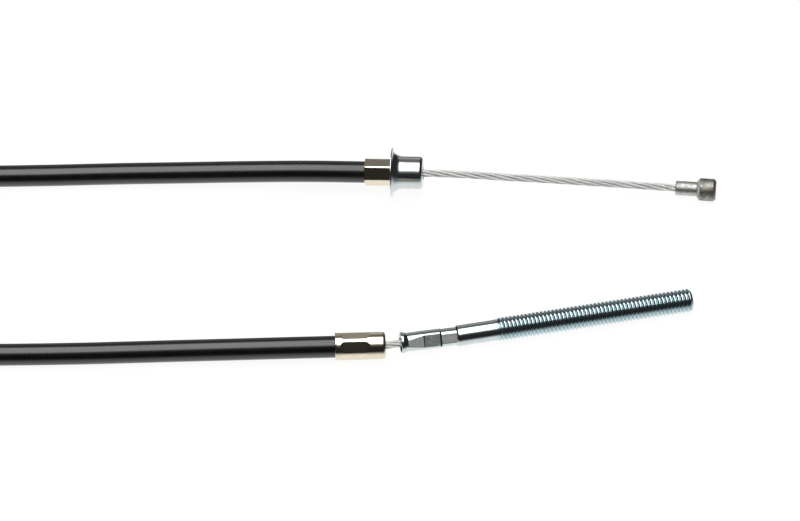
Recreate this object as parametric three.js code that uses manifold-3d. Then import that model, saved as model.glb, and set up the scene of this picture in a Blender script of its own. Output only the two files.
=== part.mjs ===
// Moped drum-brake cable: sheathed casing with its middle wound into a tied coil, crimped end ferrules,
// a flanged cap and cast nipple at the lever end, and a pressed M6 adjusting rod at the drum end.
// Millimetres, +Z up. The cable lies on the plane z = 0, with its origin under the middle of the whole.

import * as THREE from 'three';
import { mergeVertices } from 'three/addons/utils/BufferGeometryUtils.js';
import Module from 'manifold-3d';

const wasm = await Module();
wasm.setup();

// Clearances
const SEAT_GAP = 0.3;
const SLIP_GAP = 0.2;
const JACKET_GAP = 0.12;

// Casing: a black plastic jacket over a wound steel spiral and a slippery liner
const CASING_D = 5.6;
const JACKET_WALL = 0.45;
const SPIRAL_WALL = 0.45;
const LINER_WALL = 0.2;
const CASING_SIDES = 12;
const CASING_STEP = 14;

// Inner wire: a steel rope, plain here
const WIRE_D = 2;
const WIRE_SIDES = 8;
const WIRE_STEP = 3;

// Ferrules, the same at both ends: the mouth half is crimped to six flats, the end half stays round
const FERRULE_D = 6.94;
const FERRULE_LENGTH = 12.8;
const FERRULE_LIP_D = 7.1;
const FERRULE_LIP_LENGTH = 0.5;
const FERRULE_END_WALL = 1.5;
const FERRULE_EDGE_RADIUS = 0.8;
const FERRULE_HOLE_D = 3.8;
const CRIMP_START = 0.6;
const CRIMP_LENGTH = 6.6;
const CRIMP_ACROSS_FLATS = 6.42;
const CRIMP_FADE = 1.2;
const CRIMP_TURN_DEG = 18;
const LINER_SETBACK = 2.4;

// Flanged cap pressed over the upper ferrule
const FLANGE_D = 12.7;
const FLANGE_RIM = 0.28;
const CAP_LENGTH = 8.1;
const CAP_BARREL_D = 8.4;
const CAP_TRUMPET_RADIUS = 2.1;
const CAP_EDGE = 0.6;
const CAP_END_WALL = 1.9;
const CAP_HOLE_D = 3.4;

// Cast nipple on the lever end of the wire
const NIPPLE_HEAD_D = 5.8;
const NIPPLE_HEAD_LENGTH = 4.8;
const NIPPLE_HEAD_CHAMFER = 0.7;
const NIPPLE_HEAD_ROUND = 0.9;
const NIPPLE_NECK_D = 3.7;
const NIPPLE_NECK_LENGTH = 5.6;
const NIPPLE_BORE_DEPTH = 7.5;

// Adjusting rod: a sleeve pressed on the wire, then a shank, then a rolled M6 thread, all one piece
const SLEEVE_LENGTH = 14.5;
const SLEEVE_MOUTH_D = 5.4;
const SLEEVE_MOUTH_LENGTH = 1.2;
const SLEEVE_WAIST_D = 4.4;
const SLEEVE_WAIST_AT = 2.3;
const SLEEVE_D = 4.9;
const SLEEVE_TAPER_END = 6;
const SLEEVE_BORE_DEPTH = 12.6;
const SLEEVE_FLARE_D = 4.2;
const SLEEVE_FLARE_DEPTH = 2.6;
const PRESS_TAPER_TO_AXIS = [2.1, 1.88];
const PRESS_FLAT_LENGTH = 3.9;
const PRESS_FLAT_TO_AXIS = [1.82, 1.95];
const PRESS_GROOVE_LENGTH = 0.4;
const PRESS_GROOVE_TO_AXIS = 1.62;
const PRESS_TURN_DEG = 56;
const SHANK_D = 5.3;
const SHANK_LENGTH = 10.4;
const THREAD_D = 5.95;
const THREAD_PITCH = 1;
const THREAD_LENGTH = 50.6;
const THREAD_SIDES = 12;
const THREAD_CHAMFER = 0.6;

// Metric thread form, as shares of the pitch
const THREAD_DEPTH_SHARE = 0.6134;
const THREAD_CREST_SHARE = 1 / 8;
const THREAD_ROOT_SHARE = 9 / 16;

// Coil: the length between the two runs, three and a half turns in a bundle two wide and two high
const COIL_MEAN_RADIUS = 29.4;
const COIL_CENTRE_X = -93.9;
const COIL_SIDE_ROOM = 0.6;
const COIL_TOP_ROOM = 1.6;
const COIL_CORNER_RADIUS = 2.6;
const TIE_THICKNESS = 0.9;
const TIE_WIDTH = 3.6;
const TIE_HEAD_SIZE = [5, 4.6, 3];
const TIE_ANGLES_DEG = [0, 108, 252];

// Places on the table: the cap's flange, the lower ferrule, the nipple and the rod's shank
const CAP_SPOT = new THREE.Vector3(46, 30.6, FLANGE_D / 2);
const CAP_DIRECTION = new THREE.Vector3(1, -0.073, 0.05).normalize();
const LOWER_SPOT = new THREE.Vector3(38.1, -29.25, 3.62);
const LOWER_DIRECTION = new THREE.Vector3(1, 0.026, 0.0118).normalize();
const NIPPLE_SPOT = new THREE.Vector3(119.1, 28.4, 2.95);
const NIPPLE_DIRECTION = new THREE.Vector3(1, -0.0865, 0).normalize();
const SHANK_SPOT = new THREE.Vector3(62.5, -25.2, 3.12);
const SHANK_DIRECTION = new THREE.Vector3(1, 0.2164, -0.0016).normalize();
const SLEEVE_DIRECTION = new THREE.Vector3(1, 0.185, -0.012).normalize();

// Straight stretch of casing behind the lower ferrule, where the rod's wire runs back and forth
const STRAIGHT_LENGTH = 78;
const STRAIGHT_STRETCHES = 3;
const WIRE_TAIL = 68;

// Finishes
const JACKET_BLACK = new THREE.MeshStandardMaterial({ color: 0x17181a, roughness: 0.45, metalness: 0 });
const SPIRAL_STEEL = new THREE.MeshStandardMaterial({ color: 0x8a8d90, roughness: 0.4, metalness: 0.9 });
const LINER_WHITE = new THREE.MeshStandardMaterial({ color: 0xe6e4dc, roughness: 0.5, metalness: 0 });
const WIRE_STEEL = new THREE.MeshStandardMaterial({ color: 0xb9bab8, roughness: 0.35, metalness: 0.9 });
const WARM_NICKEL = new THREE.MeshStandardMaterial({ color: 0xd8cbb8, roughness: 0.2, metalness: 1 });
const BRIGHT_ZINC = new THREE.MeshStandardMaterial({ color: 0xd4dadc, roughness: 0.18, metalness: 1 });
const CAST_ZINC = new THREE.MeshStandardMaterial({ color: 0x8f908e, roughness: 0.5, metalness: 0.9 });
const BLUE_ZINC = new THREE.MeshStandardMaterial({ color: 0xc9d3d6, roughness: 0.2, metalness: 1 });
const TIE_NYLON = new THREE.MeshStandardMaterial({ color: 0x202124, roughness: 0.5, metalness: 0 });

const TURNED_SIDES = 32;
const COIL_SIDES = 40;
const NIPPLE_SIDES = 28;
const CAP_SIDES = 40;
const CUT_MARGIN = 5;
const JOIN_OVERLAP = 1;

// Sizes that follow from the ones above
const casingRadius = CASING_D / 2;
const spiralRadius = casingRadius - JACKET_WALL - SLIP_GAP;
const linerRadius = spiralRadius - SPIRAL_WALL - SLIP_GAP;
const wireRadius = WIRE_D / 2;
const ferruleBoreRadius = casingRadius + JACKET_GAP;
const capPocketDepth = CAP_LENGTH - CAP_END_WALL;
const ferruleReach = FERRULE_LENGTH + SEAT_GAP - capPocketDepth;
const coilFloor = TIE_THICKNESS + SEAT_GAP;
const coilHalfWidth = CASING_D + COIL_SIDE_ROOM;
const coilHeight = 2 * CASING_D + COIL_TOP_ROOM;
const coilOuterRadius = COIL_MEAN_RADIUS + coilHalfWidth;
const tangentOffset = COIL_MEAN_RADIUS + casingRadius;
const runClearance = Math.sqrt((coilOuterRadius + SEAT_GAP) ** 2 - (tangentOffset - casingRadius) ** 2);
const runStartX = COIL_CENTRE_X + runClearance;

const cable = new THREE.Group();

function addPiece(parent, name, geometry, material) {
  const mesh = new THREE.Mesh(geometry, material);
  mesh.name = name;
  parent.add(mesh);
  return mesh;
}

// A group whose own +X points along a direction and whose +Z leans as little as it can
function frameAt(point, direction) {
  const frame = new THREE.Group();
  const side = new THREE.Vector3(0, 0, 1).cross(direction).normalize();
  const up = direction.clone().cross(side);
  frame.position.copy(point);
  frame.quaternion.setFromRotationMatrix(new THREE.Matrix4().makeBasis(direction, side, up));
  frame.updateMatrix();
  cable.add(frame);
  return frame;
}

function pointAlong(origin, direction, distance) {
  return origin.clone().addScaledVector(direction, distance);
}

function solidOf(geometry) {
  const bare = geometry.clone();
  bare.deleteAttribute('normal');
  bare.deleteAttribute('uv');
  const merged = mergeVertices(bare, 1e-4);
  const corners = merged.index.array;
  const kept = [];
  for (let i = 0; i < corners.length; i += 3) {
    const [a, b, c] = [corners[i], corners[i + 1], corners[i + 2]];
    if (a !== b && b !== c && c !== a) kept.push(a, b, c);
  }
  return new wasm.Manifold(new wasm.Mesh({
    numProp: 3,
    vertProperties: new Float32Array(merged.attributes.position.array),
    triVerts: new Uint32Array(kept),
  }));
}

function geometryOf(solid) {
  const mesh = solid.getMesh();
  const geometry = new THREE.BufferGeometry();
  geometry.setAttribute('position', new THREE.BufferAttribute(new Float32Array(mesh.vertProperties), 3));
  geometry.setIndex(new THREE.BufferAttribute(new Uint32Array(mesh.triVerts), 1));
  geometry.computeVertexNormals();
  return geometry;
}

// Revolves [distance along the axis, radius] pairs about +X, given so that the outside runs forwards
function turned(outline, sides = TURNED_SIDES) {
  const profile = outline.map(([along, radius]) => new THREE.Vector2(radius, along));
  return new THREE.LatheGeometry(profile, sides).rotateZ(-Math.PI / 2);
}

function arc(centreAlong, centreRadius, radius, fromDeg, toDeg, pieces) {
  const points = [];
  for (let i = 0; i <= pieces; i++) {
    const angle = THREE.MathUtils.degToRad(fromDeg + ((toDeg - fromDeg) * i) / pieces);
    points.push([centreAlong + radius * Math.cos(angle), centreRadius + radius * Math.sin(angle)]);
  }
  return points;
}

function roundSection(radius, sides, boreRadius = 0) {
  const section = new THREE.Shape();
  section.absarc(0, 0, radius, 0, 2 * Math.PI);
  if (boreRadius > 0) {
    const bore = new THREE.Path();
    bore.absarc(0, 0, boreRadius, 0, 2 * Math.PI, true);
    section.holes.push(bore);
  }
  return section;
}

function tube(path, radius, sides, spacing, boreRadius = 0) {
  const steps = Math.max(1, Math.round(path.getLength() / spacing));
  const section = roundSection(radius, sides, boreRadius);
  return new THREE.ExtrudeGeometry(section, {
    steps,
    curveSegments: sides / 2,
    bevelEnabled: false,
    extrudePath: path,
  });
}

// Casing coil, as the plain outer shape of its turns
function coilGeometry() {
  const inner = COIL_MEAN_RADIUS - coilHalfWidth;
  const corner = COIL_CORNER_RADIUS;
  const outline = [
    ...arc(coilFloor + corner, coilOuterRadius - corner, corner, 180, 90, 2),
    ...arc(coilFloor + coilHeight - corner, coilOuterRadius - corner, corner, 90, 0, 2),
    ...arc(coilFloor + coilHeight - corner, inner + corner, corner, 0, -90, 2),
    ...arc(coilFloor + corner, inner + corner, corner, -90, -180, 2),
  ];
  outline.push(outline[0]);
  const profile = outline.map(([height, radius]) => new THREE.Vector2(radius, height));
  return new THREE.LatheGeometry(profile, COIL_SIDES).rotateX(Math.PI / 2);
}

function roundedFrame(halfWidth, bottom, top, corner) {
  const outline = new THREE.Path();
  outline.absarc(halfWidth - corner, bottom + corner, corner, -Math.PI / 2, 0);
  outline.absarc(halfWidth - corner, top - corner, corner, 0, Math.PI / 2);
  outline.absarc(-halfWidth + corner, top - corner, corner, Math.PI / 2, Math.PI);
  outline.absarc(-halfWidth + corner, bottom + corner, corner, Math.PI, 1.5 * Math.PI);
  outline.closePath();
  return outline;
}

// Tie: a flat strap round the bundle, closed by its locking head on top
function tieGeometry() {
  const innerHalf = coilHalfWidth + SEAT_GAP;
  const innerTop = coilFloor + coilHeight + SEAT_GAP;
  const innerCorner = COIL_CORNER_RADIUS + SEAT_GAP;
  const outer = roundedFrame(
    innerHalf + TIE_THICKNESS, 0, innerTop + TIE_THICKNESS, innerCorner + TIE_THICKNESS,
  );
  const strap = new THREE.Shape(outer.getPoints(2));
  strap.holes.push(new THREE.Path(roundedFrame(innerHalf, TIE_THICKNESS, innerTop, innerCorner).getPoints(2)));
  const band = new THREE.ExtrudeGeometry(strap, { depth: TIE_WIDTH, steps: 1, bevelEnabled: false });
  band.translate(0, 0, -TIE_WIDTH / 2).rotateX(Math.PI / 2);
  const [headLong, headWide, headHigh] = TIE_HEAD_SIZE;
  const head = new THREE.BoxGeometry(headLong, headWide, headHigh);
  head.translate(0, 0, innerTop + headHigh / 2);
  return geometryOf(solidOf(band).add(solidOf(head)));
}

function ferruleGeometry() {
  const radius = FERRULE_D / 2;
  const lip = FERRULE_LIP_D / 2;
  const edge = FERRULE_EDGE_RADIUS;
  const blank = turned([
    [0, ferruleBoreRadius],
    [0, lip],
    [FERRULE_LIP_LENGTH, lip],
    [FERRULE_LIP_LENGTH, radius],
    ...arc(FERRULE_LENGTH - edge, radius - edge, edge, 90, 0, 4),
    [FERRULE_LENGTH, FERRULE_HOLE_D / 2],
    [FERRULE_LENGTH - FERRULE_END_WALL, FERRULE_HOLE_D / 2],
    [FERRULE_LENGTH - FERRULE_END_WALL, ferruleBoreRadius],
    [0, ferruleBoreRadius],
  ]);
  // Six flats over the mouth half, which fade out where the die ends
  const corner = CRIMP_ACROSS_FLATS / 2 / Math.cos(Math.PI / 6);
  const clear = corner + CRIMP_FADE;
  const die = new THREE.CylinderGeometry(corner, corner, CRIMP_LENGTH, 6);
  die.translate(0, CRIMP_START + CRIMP_LENGTH / 2, 0);
  const fade = new THREE.CylinderGeometry(clear, corner, CRIMP_FADE * 2, 6);
  fade.translate(0, CRIMP_START + CRIMP_LENGTH + CRIMP_FADE, 0);
  const rest = FERRULE_LENGTH - CRIMP_START - CRIMP_LENGTH;
  const free = new THREE.CylinderGeometry(clear, clear, rest, 6);
  free.translate(0, FERRULE_LENGTH - rest / 2 + CRIMP_FADE * 2, 0);
  const mouth = new THREE.CylinderGeometry(clear, clear, CRIMP_START * 2, 6);
  const shapes = [die, fade, free, mouth].map((shape) => {
    shape.rotateZ(-Math.PI / 2).rotateX(THREE.MathUtils.degToRad(CRIMP_TURN_DEG));
    return solidOf(shape);
  });
  const envelope = shapes.reduce((whole, shape) => whole.add(shape));
  return geometryOf(solidOf(blank).intersect(envelope));
}

function capGeometry() {
  const barrel = CAP_BARREL_D / 2;
  const flange = FLANGE_D / 2;
  const pocketRadius = FERRULE_D / 2 + SEAT_GAP;
  const trumpet = CAP_TRUMPET_RADIUS;
  return turned([
    [0, pocketRadius],
    [0, flange],
    [FLANGE_RIM, flange],
    ...arc(FLANGE_RIM + trumpet, barrel + trumpet, trumpet, 180, 270, 6),
    [CAP_LENGTH - CAP_EDGE, barrel],
    [CAP_LENGTH, barrel - CAP_EDGE],
    [CAP_LENGTH, CAP_HOLE_D / 2],
    [capPocketDepth, CAP_HOLE_D / 2],
    [capPocketDepth, pocketRadius],
    [0, pocketRadius],
  ], CAP_SIDES);
}

function nippleGeometry() {
  const head = NIPPLE_HEAD_D / 2;
  const neck = NIPPLE_NECK_D / 2;
  const bore = wireRadius + SLIP_GAP;
  const whole = NIPPLE_NECK_LENGTH + NIPPLE_HEAD_LENGTH;
  return turned([
    [0, bore],
    [0, neck - SLIP_GAP],
    [SLIP_GAP, neck],
    [NIPPLE_NECK_LENGTH, neck],
    [NIPPLE_NECK_LENGTH, head - NIPPLE_HEAD_CHAMFER],
    [NIPPLE_NECK_LENGTH + NIPPLE_HEAD_CHAMFER, head],
    ...arc(whole - NIPPLE_HEAD_ROUND, head - NIPPLE_HEAD_ROUND, NIPPLE_HEAD_ROUND, 90, 0, 3),
    [whole, 0],
    [NIPPLE_BORE_DEPTH, 0],
    [NIPPLE_BORE_DEPTH, bore],
    [0, bore],
  ], NIPPLE_SIDES);
}

// Thread: rows that climb one pitch in each turn, through crest, flank and root
function threadSolid(start, length) {
  const crest = THREAD_D / 2;
  const root = crest - THREAD_DEPTH_SHARE * THREAD_PITCH;
  const rows = [
    { at: 0, radius: crest },
    { at: THREAD_CREST_SHARE, radius: crest },
    { at: THREAD_ROOT_SHARE, radius: root },
  ];
  const spareTurns = 2;
  const turns = Math.ceil(length / THREAD_PITCH) + spareTurns + 1;
  const rowCount = turns * rows.length;
  const positions = [];
  for (let row = 0; row <= rowCount; row++) {
    const { at, radius } = rows[row % rows.length];
    const along = start + THREAD_PITCH * (Math.floor(row / rows.length) + at - spareTurns);
    for (let side = 0; side < THREAD_SIDES; side++) {
      const angle = (2 * Math.PI * side) / THREAD_SIDES;
      const climb = (THREAD_PITCH * side) / THREAD_SIDES;
      positions.push(along + climb, radius * Math.cos(angle), radius * Math.sin(angle));
    }
  }
  const vertex = (row, side) => (side < THREAD_SIDES
    ? row * THREAD_SIDES + side
    : (row + rows.length) * THREAD_SIDES);
  const faces = [];
  const lastRow = rowCount - rows.length;
  for (let row = 0; row < lastRow; row++) {
    for (let side = 0; side < THREAD_SIDES; side++) {
      const [a, b] = [vertex(row, side), vertex(row, side + 1)];
      const [c, d] = [vertex(row + 1, side), vertex(row + 1, side + 1)];
      faces.push(a, b, d, a, d, c);
    }
  }
  const rimAt = (row) => {
    const rim = [];
    for (let side = 0; side <= THREAD_SIDES; side++) rim.push(vertex(row, side));
    for (let back = rows.length - 1; back > 0; back--) rim.push(vertex(row + back, 0));
    return rim;
  };
  const closeEnd = (row, along, forwards) => {
    const centre = positions.length / 3;
    positions.push(along, 0, 0);
    const rim = rimAt(row);
    rim.forEach((here, i) => {
      const next = rim[(i + 1) % rim.length];
      faces.push(centre, ...(forwards ? [here, next] : [next, here]));
    });
  };
  const halfClimb = THREAD_PITCH / 2;
  closeEnd(0, start - spareTurns * THREAD_PITCH + halfClimb, false);
  closeEnd(lastRow, start + (turns - spareTurns) * THREAD_PITCH - halfClimb, true);
  const geometry = new THREE.BufferGeometry();
  geometry.setAttribute('position', new THREE.Float32BufferAttribute(positions, 3));
  geometry.setIndex(faces);
  return solidOf(geometry);
}

function rodGeometry(sleeveTurn) {
  const mouth = SLEEVE_MOUTH_D / 2;
  const waist = SLEEVE_WAIST_D / 2;
  const sleeve = SLEEVE_D / 2;
  const shank = SHANK_D / 2;
  const bore = wireRadius + SEAT_GAP;
  const back = -SLEEVE_LENGTH;
  let body = solidOf(turned([
    [back, SLEEVE_FLARE_D / 2],
    [back, mouth],
    [back + SLEEVE_MOUTH_LENGTH, mouth - SLIP_GAP],
    [back + SLEEVE_WAIST_AT, waist],
    [back + SLEEVE_TAPER_END, sleeve],
    [-PRESS_GROOVE_LENGTH, sleeve],
    [0, shank],
    [JOIN_OVERLAP, shank],
    [JOIN_OVERLAP, 0],
    [back + SLEEVE_BORE_DEPTH, 0],
    [back + SLEEVE_BORE_DEPTH, bore],
    [back + SLEEVE_FLARE_DEPTH, bore],
    [back, SLEEVE_FLARE_D / 2],
  ]));
  // Flats left by the two jaws of the press, with a groove between them
  const cuts = [];
  const press = (from, length, toAxis, tilt = 0) => {
    for (const half of [1, -1]) {
      const jaw = new THREE.BoxGeometry(length, CUT_MARGIN * 2, CUT_MARGIN);
      jaw.translate(length / 2, 0, CUT_MARGIN / 2).rotateY(tilt).translate(from, 0, toAxis);
      jaw.rotateX(THREE.MathUtils.degToRad(PRESS_TURN_DEG) + (half > 0 ? 0 : Math.PI));
      cuts.push(solidOf(jaw));
    }
  };
  const taper = back + SLEEVE_WAIST_AT;
  const flatA = back + SLEEVE_TAPER_END;
  const taperTilt = Math.atan2(PRESS_TAPER_TO_AXIS[0] - PRESS_TAPER_TO_AXIS[1], flatA - taper);
  const groove = flatA + PRESS_FLAT_LENGTH;
  const flatB = groove + PRESS_GROOVE_LENGTH;
  press(taper, flatA - taper, PRESS_TAPER_TO_AXIS[0], taperTilt);
  press(flatA, PRESS_FLAT_LENGTH, PRESS_FLAT_TO_AXIS[0]);
  press(groove, PRESS_GROOVE_LENGTH, PRESS_GROOVE_TO_AXIS);
  press(flatB, PRESS_FLAT_LENGTH, PRESS_FLAT_TO_AXIS[1]);
  for (const cut of cuts) body = body.subtract(cut);
  const turn = new THREE.Matrix4().makeRotationFromQuaternion(sleeveTurn);
  body = solidOf(geometryOf(body).applyMatrix4(turn));

  const end = SHANK_LENGTH + THREAD_LENGTH;
  const crest = THREAD_D / 2;
  const envelope = solidOf(turned([
    [SHANK_LENGTH, 0],
    [SHANK_LENGTH, crest - THREAD_CHAMFER],
    [SHANK_LENGTH + THREAD_CHAMFER, crest + SLIP_GAP],
    [end - THREAD_CHAMFER, crest + SLIP_GAP],
    [end, crest - THREAD_CHAMFER],
    [end, 0],
  ], THREAD_SIDES * 2));
  const thread = threadSolid(SHANK_LENGTH, THREAD_LENGTH).intersect(envelope);
  const rod = solidOf(turned([
    [0, 0],
    [0, shank],
    [SHANK_LENGTH, shank],
    [SHANK_LENGTH + THREAD_PITCH, 0],
  ], THREAD_SIDES * 2));
  return geometryOf(body.add(rod).add(thread));
}

// Upper run, from the coil to the upper ferrule
const upperMouth = pointAlong(CAP_SPOT, CAP_DIRECTION, -ferruleReach);
const upperEnd = pointAlong(upperMouth, CAP_DIRECTION, FERRULE_LENGTH - FERRULE_END_WALL - SEAT_GAP);
const UPPER_RUN = [
  new THREE.Vector3(runStartX, tangentOffset + 0.1, 3.45),
  new THREE.Vector3(-60, 32.55, 3.05),
  new THREE.Vector3(-44, 33.05, 2.85),
  new THREE.Vector3(-24, 33.5, 3.05),
  new THREE.Vector3(-8, 33.35, 3.55),
  new THREE.Vector3(8, 32.95, 4.3),
  new THREE.Vector3(24, 32.25, 5.15),
];

// Lower run, from the coil to the lower ferrule: its last stretch is straight
const lowerMouth = pointAlong(LOWER_SPOT, LOWER_DIRECTION, -FERRULE_LENGTH / 2);
const lowerFace = pointAlong(LOWER_SPOT, LOWER_DIRECTION, FERRULE_LENGTH / 2);
const lowerEnd = pointAlong(lowerFace, LOWER_DIRECTION, -FERRULE_END_WALL - SEAT_GAP);
const LOWER_RUN = [
  new THREE.Vector3(runStartX, 0.15 - tangentOffset, 3.3),
  new THREE.Vector3(-56, -31.7, 2.95),
];

function casingRun(place, points, mouthPoint, endPoint, direction) {
  const linerEnd = pointAlong(endPoint, direction, -LINER_SETBACK);
  const jacketPath = new THREE.CatmullRomCurve3([...points, mouthPoint, endPoint]);
  const linerPath = new THREE.CatmullRomCurve3([...points, mouthPoint, linerEnd]);
  const jacketBore = casingRadius - JACKET_WALL;
  const spiralBore = spiralRadius - SPIRAL_WALL;
  const linerBore = linerRadius - LINER_WALL;
  const run = (name, path, radius, bore, material) => {
    addPiece(cable, `${name}_${place}_run`, tube(path, radius, CASING_SIDES, CASING_STEP, bore), material);
  };
  run('jacket', jacketPath, casingRadius, jacketBore, JACKET_BLACK);
  run('spiral', jacketPath, spiralRadius, spiralBore, SPIRAL_STEEL);
  run('liner', linerPath, linerRadius, linerBore, LINER_WHITE);
}

casingRun('upper', UPPER_RUN, upperMouth, upperEnd, CAP_DIRECTION);
const straightPoints = [];
for (let left = STRAIGHT_STRETCHES; left > 0; left--) {
  const back = (STRAIGHT_LENGTH * left) / STRAIGHT_STRETCHES;
  straightPoints.push(pointAlong(lowerFace, LOWER_DIRECTION, -back));
}
casingRun('lower', [...LOWER_RUN, ...straightPoints], lowerMouth, lowerEnd, LOWER_DIRECTION);

// Coil and its ties
const coilFrame = new THREE.Group();
coilFrame.position.set(COIL_CENTRE_X, 0, 0);
cable.add(coilFrame);
addPiece(coilFrame, 'casing_coil', coilGeometry(), JACKET_BLACK);
TIE_ANGLES_DEG.forEach((angle, i) => {
  const spoke = new THREE.Group();
  spoke.rotation.z = THREE.MathUtils.degToRad(angle);
  coilFrame.add(spoke);
  const tie = addPiece(spoke, `coil_tie_${i + 1}`, tieGeometry(), TIE_NYLON);
  tie.position.x = COIL_MEAN_RADIUS;
});

// Lever end: ferrule and cap
const capFrame = frameAt(CAP_SPOT, CAP_DIRECTION);
addPiece(capFrame, 'flanged_cap', capGeometry(), BRIGHT_ZINC);
const upperFerrule = addPiece(capFrame, 'upper_ferrule', ferruleGeometry(), WARM_NICKEL);
upperFerrule.position.x = -ferruleReach;

// Lever end: wire and nipple, which slide together
const capFace = pointAlong(CAP_SPOT, CAP_DIRECTION, CAP_LENGTH);
const UPPER_WIRE = [
  CAP_SPOT,
  pointAlong(capFace, CAP_DIRECTION, -CAP_END_WALL),
  new THREE.Vector3(65.6, 29.6, 6.5),
  new THREE.Vector3(76, 29.3, 5.85),
  new THREE.Vector3(86.2, 29.25, 5.1),
  new THREE.Vector3(96.5, 29.15, 4.3),
  new THREE.Vector3(107, 28.95, 3.55),
  NIPPLE_SPOT,
  pointAlong(NIPPLE_SPOT, NIPPLE_DIRECTION, NIPPLE_BORE_DEPTH - SEAT_GAP),
];
const upperWire = tube(new THREE.CatmullRomCurve3(UPPER_WIRE), wireRadius, WIRE_SIDES, WIRE_STEP);
addPiece(cable, 'inner_wire_upper', upperWire, WIRE_STEEL);
addPiece(frameAt(NIPPLE_SPOT, NIPPLE_DIRECTION), 'nipple', nippleGeometry(), CAST_ZINC);

// Drum end: ferrule
addPiece(frameAt(lowerMouth, LOWER_DIRECTION), 'lower_ferrule', ferruleGeometry(), WARM_NICKEL);

// Drum end: wire and rod, which slide together
const rodFrame = frameAt(SHANK_SPOT, SHANK_DIRECTION);
const sleeveTurn = new THREE.Quaternion().setFromUnitVectors(
  new THREE.Vector3(1, 0, 0),
  SLEEVE_DIRECTION.clone().applyQuaternion(rodFrame.quaternion.clone().invert()),
);
addPiece(rodFrame, 'threaded_rod', rodGeometry(sleeveTurn), BLUE_ZINC);
const sleeveAt = (distance) => pointAlong(SHANK_SPOT, SLEEVE_DIRECTION, distance - SLEEVE_LENGTH);
const wireEndDepth = SLEEVE_BORE_DEPTH - SEAT_GAP;
const straightWire = [WIRE_TAIL, WIRE_TAIL / 2, 10, 5, 0.5]
  .map((back) => pointAlong(lowerFace, LOWER_DIRECTION, -back));
const LOWER_WIRE = [
  ...straightWire,
  new THREE.Vector3(46.4, -28.62, 3.64),
  new THREE.Vector3(48.2, -28.15, 3.5),
  sleeveAt(SLEEVE_FLARE_DEPTH),
  sleeveAt(wireEndDepth / 2),
  sleeveAt(wireEndDepth),
];
const lowerWire = tube(new THREE.CatmullRomCurve3(LOWER_WIRE), wireRadius, WIRE_SIDES, WIRE_STEP);
addPiece(cable, 'inner_wire_lower', lowerWire, WIRE_STEEL);

// The origin goes under the middle of the whole
cable.updateMatrixWorld(true);
const extent = new THREE.Box3().setFromObject(cable, true);
const middle = extent.getCenter(new THREE.Vector3());
cable.position.set(-middle.x, -middle.y, -extent.min.z);

export default cable;
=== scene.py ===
"""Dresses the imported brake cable: jacket, ropes, fittings and ties, on a pale studio floor."""

import math

import bpy
import numpy as np
from mathutils import Matrix, Vector


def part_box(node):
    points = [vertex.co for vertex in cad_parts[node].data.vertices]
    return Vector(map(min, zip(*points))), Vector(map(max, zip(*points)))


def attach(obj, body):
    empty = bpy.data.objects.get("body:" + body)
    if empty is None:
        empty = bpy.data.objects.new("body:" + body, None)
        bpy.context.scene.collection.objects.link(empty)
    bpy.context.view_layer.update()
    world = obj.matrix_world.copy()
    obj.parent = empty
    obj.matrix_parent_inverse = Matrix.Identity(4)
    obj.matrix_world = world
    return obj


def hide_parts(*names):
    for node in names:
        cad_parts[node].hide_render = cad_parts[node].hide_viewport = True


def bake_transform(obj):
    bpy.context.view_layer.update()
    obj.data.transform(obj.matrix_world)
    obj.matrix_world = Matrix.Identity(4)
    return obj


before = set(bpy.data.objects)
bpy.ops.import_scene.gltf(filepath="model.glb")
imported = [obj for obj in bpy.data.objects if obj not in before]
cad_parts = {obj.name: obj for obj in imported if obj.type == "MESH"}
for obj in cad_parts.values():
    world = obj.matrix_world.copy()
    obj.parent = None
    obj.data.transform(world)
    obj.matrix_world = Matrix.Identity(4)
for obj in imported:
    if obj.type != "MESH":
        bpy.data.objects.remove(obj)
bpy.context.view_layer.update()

bl_info = {
    "name": "Brake cable",
    "version": (1, 0, 0),
    "blender": (4, 5, 0),
    "location": "View3D > Sidebar > Brake cable",
    "description": "Builds the visible pieces of a moped drum-brake cable",
    "category": "Object",
}

# Named lengths are in millimetres and angles in degrees, but camera, light and floor are in metres
MM = 0.001
TAU = 2 * math.pi
HALF_TURN = 180
QUARTER_TURN = 90

# Places and directions of the construction, before its origin was centred
COIL_CENTRE_X = -93.9
COIL_MEAN_RADIUS = 29.4
COIL_BOTTOM = 1.2
CAP_SPOT = (46, 30.6, 6.35)
CAP_DIRECTION = (1, -0.073, 0.05)
LOWER_SPOT = (38.1, -29.25, 3.62)
LOWER_DIRECTION = (1, 0.026, 0.0118)
NIPPLE_SPOT = (119.1, 28.4, 2.95)
NIPPLE_DIRECTION = (1, -0.0865, 0)
SHANK_SPOT = (62.5, -25.2, 3.12)
SHANK_DIRECTION = (1, 0.2164, -0.0016)
SLEEVE_DIRECTION = (1, 0.185, -0.012)

# Lengths that place one fitting by another
SEAT_GAP = 0.3
FERRULE_LENGTH = 12.8
FERRULE_END_WALL = 1.5
CAP_LENGTH = 8.1
CAP_END_WALL = 1.9
CAP_POCKET_DEPTH = CAP_LENGTH - CAP_END_WALL
FERRULE_REACH = FERRULE_LENGTH + SEAT_GAP - CAP_POCKET_DEPTH
CASING_IN_FERRULE = FERRULE_LENGTH - FERRULE_END_WALL - SEAT_GAP
SLEEVE_LENGTH = 14.5
SLEEVE_BORE_DEPTH = 12.6
SLEEVE_FLARE_DEPTH = 2.6
NIPPLE_BORE_DEPTH = 7.5
STRAIGHT_LENGTH = 78
STRAIGHT_STRETCHES = 3

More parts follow.
